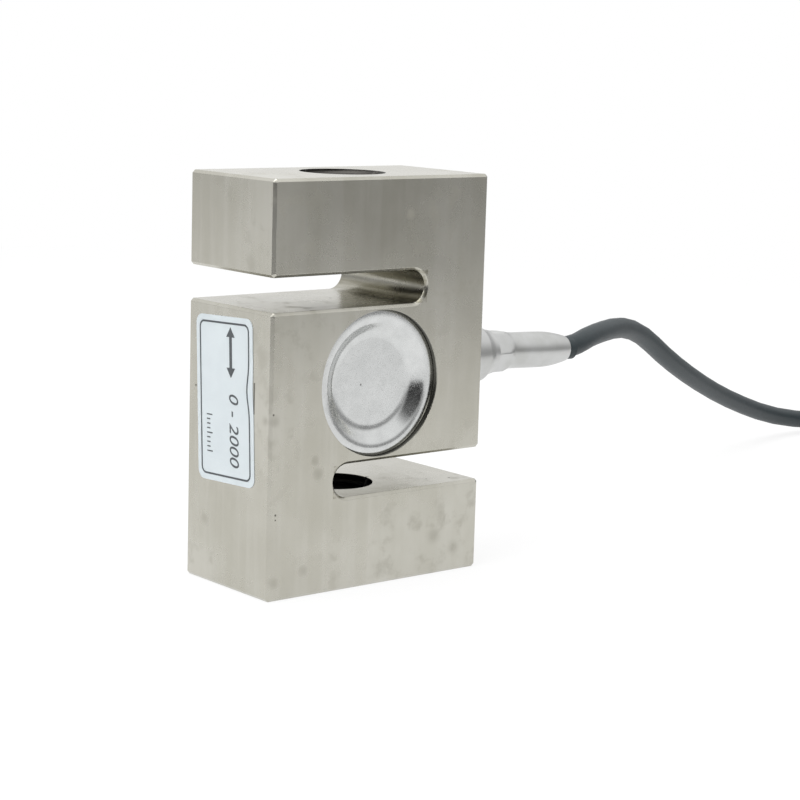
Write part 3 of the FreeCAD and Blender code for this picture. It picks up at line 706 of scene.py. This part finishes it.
print_work = bmesh.new()
border_width = label_width - 2 * border_inset
border_length = label_length - 2 * border_inset
outer = rounded_outline(border_width, border_length, border_corner, border_bow)
inner = rounded_outline(border_width - 2 * border_line, border_length - 2 * border_line,
                        border_corner - border_line, border_bow)
skin(print_work, [label_ring(outer, film_face), label_ring(outer, ink_face),
                  label_ring(inner, ink_face), label_ring(inner, film_face)], closed=True)
for way in (1, -1):
    arrow = [(arrow_middle[0] + across * way, arrow_middle[1] + up * way)
             for across, up in arrow_outline]
    skin(print_work, [label_ring(arrow, film_face), label_ring(arrow, ink_face)])

ink_middle = (film_face + ink_face) / 2
scale_marks = marks_along([(0.0, 0.0), (scale_length, 0.0)], {
    "Count": 9, "Size": (0.00022, 0.0010, film_face - ink_face), "Long Every": 4,
    "Long Scale": (1, 1.7, 1), "Finish": ink})
for vertex in scale_marks.vertices:
    down, across, depth = vertex.co
    vertex.co = label_place(scale_place[0] - across, scale_place[1] - down, ink_middle + depth)
print_work.from_mesh(scale_marks)
label_print = new_piece("label_print", print_work, ink)
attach(label_print, "root")


def number_print(name, words, size, across, up):
    """Flat raised figures that read downwards along the label."""
    text = bpy.data.curves.new(name, "FONT")
    text.body = words
    text.size = size
    text.align_x = "CENTER"
    text.align_y = "CENTER"
    text.shear = figure_slant
    text.extrude = (film_face - ink_face) / 2
    holder = bpy.data.objects.new(name, text)
    bpy.context.scene.collection.objects.link(holder)
    graph = bpy.context.evaluated_depsgraph_get()
    mesh = bpy.data.meshes.new_from_object(holder.evaluated_get(graph))
    bpy.data.objects.remove(holder)
    for vertex in mesh.vertices:
        down, over, depth = vertex.co
        vertex.co = label_place(across - over, up - down, ink_middle - depth)
    work = bmesh.new()
    work.from_mesh(mesh)
    bmesh.ops.remove_doubles(work, verts=work.verts, dist=1e-7)
    made = new_piece(name, work, ink)
    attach(made, "root")


number_print("range_figures", "0 - 2000", figure_height, *figure_place)


# ---- Cable ---------------------------------------------------------------------
# Screened four-core cable, 4.5 mm over a dark grey PVC jacket. It bends over as
# it leaves the gland, falls to the table and is put away as a tied round coil.
def jacket_finish():
    jacket = Finish("cable_jacket")
    cloud = jacket.noise(jacket.place, 60.0)
    grain = jacket.noise(jacket.place, 2600.0, 2.0)
    jacket.set({"Specular IOR Level": 0.42, "Sheen Weight": 0.04})
    jacket.drive("Base Color", jacket.blend(cloud, (0.009, 0.017, 0.021), (0.017, 0.029, 0.034)))
    jacket.drive("Roughness", 0.40 + 0.16 * grain)
    jacket.bump(grain, 0.00003)
    return jacket.material


cable_diameter = 0.0045
gland_mouth = Vector((0.06088, 0, 0.03861))
gland_axis = Vector((math.cos(droop), 0, -math.sin(droop)))
coil_middle = Vector((0.258, 0.008, 0))
coil_mean_radius = 0.027
coil_layers = 4
coil_turns = 15.5
points_per_turn = 24
tail_step = 0.022
tail_lift = 0.00065          # the sleeve at its end is this much thicker all round
rest = cable_diameter / 2
outer_turn = coil_mean_radius + (coil_layers - 1) * cable_diameter / 2
coil_entry = coil_middle + Vector((-0.019, outer_turn, rest))

route = [
    gland_mouth - gland_axis * 0.0060,
    gland_mouth + gland_axis * 0.0004,
    Vector((0.0705, 0.0036, 0.0404)),
    Vector((0.0966, 0.0172, 0.0394)),
    Vector((0.1212, 0.0270, 0.0268)),
    Vector((0.1584, 0.0425, 0.0129)),
    Vector((0.1933, 0.0506, 0.0027)),
    coil_entry - Vector((0.0125, 0, 0)),
    coil_entry,
]


def turn_slot(turn):
    """Column and row of one turn: rows wound inward and outward in turn."""
    row = turn // coil_layers
    column = turn % coil_layers
    if row % 2:
        column = coil_layers - 1 - column
    return column, row


def coil_point(step):
    """One point of the coil; each turn jogs to its next place in a sixth of a turn."""
    turns = step / points_per_turn
    turn = int(turns)
    jog = min(1.0, max(0.0, (turns - turn - 5 / 6) * 6))
    column, row = turn_slot(turn)
    next_column, next_row = turn_slot(turn + 1)
    column += (next_column - column) * jog
    row += (next_row - row) * jog
    radius = (outer_turn - column * cable_diameter) / math.cos(math.pi / points_per_turn)
    angle = math.radians(90) - turns * math.tau
    return coil_middle + Vector((radius * math.cos(angle), radius * math.sin(angle),
                                 rest + row * cable_diameter))


for step in range(1, int(coil_turns * points_per_turn)):
    route.append(coil_point(step))
tail_start = coil_middle + Vector((0, -outer_turn, rest + (coil_layers - 1) * cable_diameter))
tail_down = Vector((tail_start.x - 2 * tail_step, tail_start.y, rest + tail_lift))
route += [
    tail_start,
    tail_start - Vector((tail_step, 0, 0)),
    tail_down,
    tail_down - Vector((tail_step, 0, 0)),
]

cable_curve = bpy.data.curves.new("cable", "CURVE")
cable_curve.dimensions = "3D"
cable_curve.bevel_depth = cable_diameter / 2
cable_curve.bevel_resolution = 5
cable_curve.use_fill_caps = True
spline = cable_curve.splines.new("NURBS")
spline.points.add(len(route) - 1)
for point, place in zip(spline.points, route):
    point.co = (*place, 1)
spline.order_u = 3
spline.use_endpoint_u = True
spline.resolution_u = 4
cable = bpy.data.objects.new("cable", cable_curve)
bpy.context.scene.collection.objects.link(cable)
jacket = jacket_finish()
cable_curve.materials.append(jacket)
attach(cable, "root")
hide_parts("cable_lead", "cable_coil")
dress(jacket, "cable_entry")


# ---- Cable ties ---------------------------------------------------------------------------
# Two nylon ties hold the coil: a ribbed band round the turns with a moulded head,
# its free end cropped just past the head.
tie_width = 0.0026
tie_gap = 0.00025
tie_thickness = 0.0010
tie_edge = tie_thickness * 0.75
tie_crown = tie_thickness * 0.95
crown_share = 0.7
tie_corner = 0.0024
tie_floor = 0.00105          # underneath, the band beds in between the turns
rib_count = 62
rib_size = (0.00045, 0.00024, 0.0016)
coil_band = coil_layers * cable_diameter
band_middle = coil_band / 2
head_low = coil_band + tie_thickness * 0.96
head_half = 0.0021
head_softness = 0.0004
cropped_low = (0.0020, -0.0012, head_low + 0.0009)
cropped_high = (0.0029, 0.0012, head_low + 0.0019)
cropped_softness = 0.0002


def tie_section(grow):
    """Rounded square round the turns, seen along the cable: (across, up) points."""
    side = coil_band + 2 * grow
    return rounded_outline(side, side, tie_corner + grow)


def tie_place(bearing, across, along, up):
    """A point on a tie, from the coil's own bearing, in degrees from +X."""
    angle = math.radians(bearing)
    radius = coil_mean_radius + across
    return coil_middle + Vector((radius * math.cos(angle) - along * math.sin(angle),
                                 radius * math.sin(angle) + along * math.cos(angle), up))


def block_between(work, place, low, high, soft):
    """A small moulded block with its edges drawn in at top and bottom."""
    rings = []
    for level, inset in ((low[2], soft), (low[2] + soft, 0), (high[2] - soft, 0), (high[2], soft)):
        rings.append([place(across, along, level) for across, along in (
            (low[0] + inset, low[1] + inset), (high[0] - inset, low[1] + inset),
            (high[0] - inset, high[1] - inset), (low[0] + inset, high[1] - inset))])
    skin(work, rings)


nylon = two_tone("tie_nylon", (0.62, 0.62, 0.58), (0.74, 0.74, 0.70), 300.0, 0.38)
for node, bearing in (("coil_tie_a", 20), ("coil_tie_b", 200)):
    def on_tie(across, along, up, bearing=bearing):
        return tie_place(bearing, across, along, up)

    work = bmesh.new()
    rings = []
    for grow, edge in ((tie_gap, -1), (tie_gap, 1), (tie_edge, 1), (tie_crown, crown_share),
                       (tie_crown, -crown_share), (tie_edge, -1)):
        rings.append([on_tie(across, edge * tie_width / 2, max(band_middle + up, tie_floor))
                      for across, up in tie_section(grow)])
    skin(work, rings, closed=True)
    head_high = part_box(node)[1][2] - 0.0002
    block_between(work, on_tie, (-head_half, -head_half, head_low),
                  (head_half, head_half, head_high), head_softness)
    block_between(work, on_tie, cropped_low, cropped_high, cropped_softness)
    over = tie_section(tie_crown)[:2 * (corner_steps + 1)]
    ribs = marks_along([(over[0][0], 0.0)] + over + [(over[-1][0], 0.0)], {
        "Count": rib_count, "Size": rib_size, "Long Every": 1000,
        "Long Scale": (1, 1, 1), "Finish": nylon})
    for vertex in ribs.vertices:
        across, up, along = vertex.co
        vertex.co = on_tie(across, -along, band_middle + up)
    work.from_mesh(ribs)
    tie = new_piece(f"{node}_band", work, nylon, smooth=35)
    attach(tie, "root")
    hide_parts(node)


# ---- Heat-shrink at the free end -------------------------------------------------------------
# A black heat-shrink sleeve keeps the screen and jacket from fraying where the four
# cores and the drain wire come out.
def shrink_finish():
    shrink = Finish("shrink_tube")
    ripple = shrink.noise(shrink.scaled(0.2, 1.0, 1.0), 900.0, 3.0)
    shrink.drive("Base Color", shrink.blend(ripple, (0.014, 0.014, 0.015), (0.030, 0.030, 0.032)))
    shrink.drive("Roughness", 0.42 + 0.15 * ripple)
    shrink.bump(ripple, 0.00006)
    return shrink.material


shrink_low, shrink_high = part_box("end_shrink")
shrink_axis = ((shrink_low[1] + shrink_high[1]) / 2, (shrink_low[2] + shrink_high[2]) / 2)
shrink_radius = (shrink_high[1] - shrink_low[1]) / 2
shrink_bore = cable_diameter / 2 + 0.00006
shrink_steps = 48
shrink_profile = [
    (shrink_bore, 0.0), (shrink_radius - 0.00025, 0.0),
    (shrink_radius - 0.0001, 0.0003), (shrink_radius - 0.00006, 0.0050),
    (shrink_radius, 0.0068), (shrink_radius - 0.00008, 0.0100),
    (shrink_radius - 0.0003, 0.0115), (shrink_radius - 0.0006, 0.0128),
    (shrink_radius - 0.0007, 0.0150), (shrink_radius - 0.0008, 0.0176),
    (shrink_radius - 0.0011, 0.0180), (0.0, 0.0180),
    (0.0, 0.0118), (shrink_bore, 0.0118),
]


def on_shrink(radius, along, angle):
    return (shrink_high[0] - along, shrink_axis[0] + radius * math.cos(angle),
            shrink_axis[1] + radius * math.sin(angle))


shrink_sleeve = new_piece("shrink_sleeve", lathe(shrink_profile, on_shrink, shrink_steps),
                          shrink_finish(), smooth=35)
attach(shrink_sleeve, "root")
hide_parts("end_shrink")

on_cable = ["coil_tie_a_band", "coil_tie_b_band", "shrink_sleeve", "end_drain"]
for colour in ("red", "black", "green", "white"):
    on_cable += [f"end_core_{colour}", f"end_tip_{colour}"]


# ---- Studio ------------------------------------------------------------------------
# Seamless white paper sweeps up behind the cell and glows a little, so it stays white.
# Two soft lamps hang in a room that is bright overhead, and dim low down and behind us.
near, far, left, right = -0.40, 1.6, -1.7, 0.36
sweep_radius, sweep_steps = 0.7, 16
paper_top = 2.6
paper_turn = math.radians(-39.8)
paper = Finish("white_paper")
grain = paper.noise(paper.place, 900.0, 2.0)
paper.drive("Base Color", paper.blend(grain, (0.86, 0.86, 0.86), (0.90, 0.90, 0.90)))
paper.set({"Roughness": 0.9})
seen = sum(paper.node("ShaderNodeLightPath", {}, {}, f"Is {ray} Ray")
           for ray in ("Camera", "Glossy", "Transmission"))
glow = paper.node("ShaderNodeEmission", {}, {"Color": (1, 1, 1, 1), "Strength": 1.0})
away = paper.node("ShaderNodeVectorMath", {"operation": "LENGTH"}, {0: paper.place}, "Value")
glow_share = 0.85 + 0.15 * away.ramp(0.28, 0.60)
white = paper.node("ShaderNodeMixShader", {},
                   {0: seen.run("MINIMUM", seen, 1.0) * glow_share,
                    1: Value(paper, paper.shader.outputs[0]), 2: glow})
paper.tree.links.new(white.socket, paper.tree.nodes["Material Output"].inputs["Surface"])

paper_profile = [(near, 0.0)]
for i in range(sweep_steps + 1):
    angle = math.radians(-90 + i * 90 / sweep_steps)
    paper_profile.append((far + sweep_radius * math.cos(angle),
                          sweep_radius + sweep_radius * math.sin(angle)))
paper_profile.append((far + sweep_radius, paper_top))
work = bmesh.new()
rows = [[work.verts.new((x, y, z)) for y, z in paper_profile] for x in (left, right)]
for i in range(len(paper_profile) - 1):
    work.faces.new((rows[0][i], rows[1][i], rows[1][i + 1], rows[0][i + 1]))
sheet_mesh = bpy.data.meshes.new("paper_sheet")
work.to_mesh(sheet_mesh)
work.free()
sheet_mesh.transform(Matrix.Rotation(paper_turn, 4, "Z"))
sheet_mesh.materials.append(paper.material)
paper_sheet = bpy.data.objects.new("paper_sheet", sheet_mesh)
bpy.context.scene.collection.objects.link(paper_sheet)

cell_middle = Vector((0, 0, 0.03))
for name, place, size, power in (("top_lamp", (-0.10, 0.10, 1.10), 0.9, 9.0),
                                 ("left_lamp", (-0.90, -0.20, 0.70), 0.6, 5.0)):
    lamp_data = bpy.data.lights.new(name, "AREA")
    lamp_data.size = size
    lamp_data.energy = power
    lamp = bpy.data.objects.new(name, lamp_data)
    lamp.location = place
    lamp.rotation_euler = (cell_middle - Vector(place)).to_track_quat("-Z", "Y").to_euler()
    bpy.context.scene.collection.objects.link(lamp)

viewer_side = (-0.61, -0.76, 0.22)
floor_level = 0.37           # shares of the overhead brightness
viewer_shade = 0.88
room = bpy.data.worlds.new("room")
bpy.context.scene.world = room
sky = Finish("room", room, "Background", "Generated")
level = floor_level + (1 - floor_level) * sky.axes()[2].ramp(0.04, 0.52)
towards_viewer = sky.node("ShaderNodeVectorMath", {"operation": "DOT_PRODUCT"},
                          {0: sky.place, 1: viewer_side}, "Value")
level = level * (1 - viewer_shade * towards_viewer.ramp(0.68, 0.90))
seen_directly = sky.node("ShaderNodeLightPath", {}, {}, "Is Camera Ray")
sky.set({"Color": (1, 1, 1, 1)})
sky.drive("Strength", level.run("MAXIMUM", level, seen_directly))
